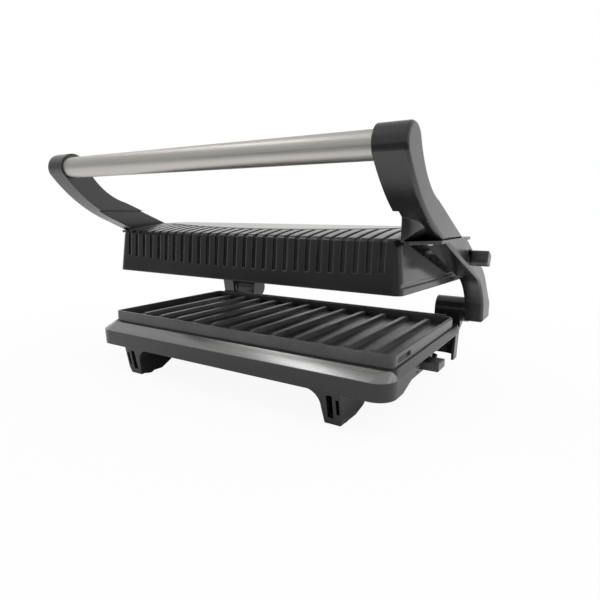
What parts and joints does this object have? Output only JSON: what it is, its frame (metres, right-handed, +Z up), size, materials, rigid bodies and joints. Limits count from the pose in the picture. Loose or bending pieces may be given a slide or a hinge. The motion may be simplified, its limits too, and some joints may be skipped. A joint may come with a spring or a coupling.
{
  "type": "panini press",
  "caption": "Open contact grill with ribbed cooking plates, a grooved floating lid on two lifting arms, a steel bar handle, lock slider and side drip tray.",
  "frame": {"origin": "on the table top, under the middle of the whole press", "axes": "+X to the right as the user stands at the handle, +Y to the back where the hinge is, +Z up"},
  "size_m": [0.275, 0.2128, 0.1615],
  "materials": {
    "black_plastic": "satin black moulding",
    "phenolic": "pale heat-proof moulding",
    "nonstick_plate": "cast aluminium with a dark non-stick coat",
    "brushed_tube": "stainless tube brushed along its length",
    "brushed_panel": "brushed stainless sheet",
    "rubber": "matt black rubber",
    "heater_steel": "dull sheathed steel",
    "reflector_sheet": "bright rolled sheet",
    "bright_steel": "zinc-bright steel",
    "red_lens": "clear red lens",
    "green_lens": "clear green lens"
  },
  "bodies": {
    "base": {"base_housing": "black_plastic", "base_bottom_cover": "black_plastic", "foot_pads": "rubber", "cover_screws": "bright_steel", "lower_grill_plate": "nonstick_plate", "lower_heating_element": "heater_steel", "lower_heat_reflector": "reflector_sheet", "lower_thermostat": "heater_steel", "lower_plate_screws": "bright_steel", "lower_reflector_screws": "bright_steel", "thermal_fuse": "heater_steel", "terminal_block": "phenolic", "cord_gland": "black_plastic"},
    "hinge": {"right_hinge_pin": "bright_steel", "left_hinge_pin": "bright_steel"},
    "arms": {"right_hinge_arm": "black_plastic", "left_hinge_arm": "black_plastic", "right_handle_arm": "black_plastic", "left_handle_arm": "black_plastic", "arm_screws": "bright_steel", "handle_tube": "brushed_tube"},
    "lid": {"upper_housing": "black_plastic", "top_panel": "brushed_panel", "upper_grill_plate": "nonstick_plate", "upper_heating_element": "heater_steel", "upper_heat_reflector": "reflector_sheet", "upper_thermostat": "heater_steel", "upper_plate_screws": "bright_steel", "right_lid_pivot": "bright_steel", "left_lid_pivot": "bright_steel", "power_light": "red_lens", "ready_light": "green_lens"},
    "lock": {"lock_slider": "black_plastic"},
    "tray": {"drip_tray": "black_plastic"}
  },
  "joints": [
    {"name": "lid_hinge", "type": "hinge", "parent": "base", "child": "hinge", "pos_m": [-0.0055, 0.09025, 0.0455], "axis": [-1, 0, 0], "range_deg": [0, 150]},
    {"name": "press_stroke", "type": "hinge", "parent": "hinge", "child": "arms", "pos_m": [-0.0055, 0.09025, 0.0455], "axis": [-1, 0, 0], "range_deg": [-17, 0]},
    {"name": "plate_float", "type": "hinge", "parent": "arms", "child": "lid", "pos_m": [-0.0055, 0.00024, 0.09927], "axis": [-1, 0, 0], "range_deg": [0, 15.1]},
    {"name": "lock_slide", "type": "slide", "parent": "arms", "child": "lock", "axis": [0, 0.9272, -0.3746], "range_m": [-0.008, 0]},
    {"name": "tray_slide", "type": "slide", "parent": "base", "child": "tray", "axis": [1, 0, 0], "range_m": [0, 0.055]}
  ],
  "couplings": [
    {"joint": "plate_float", "follows": "press_stroke", "ratio": -0.88823}
  ]
}
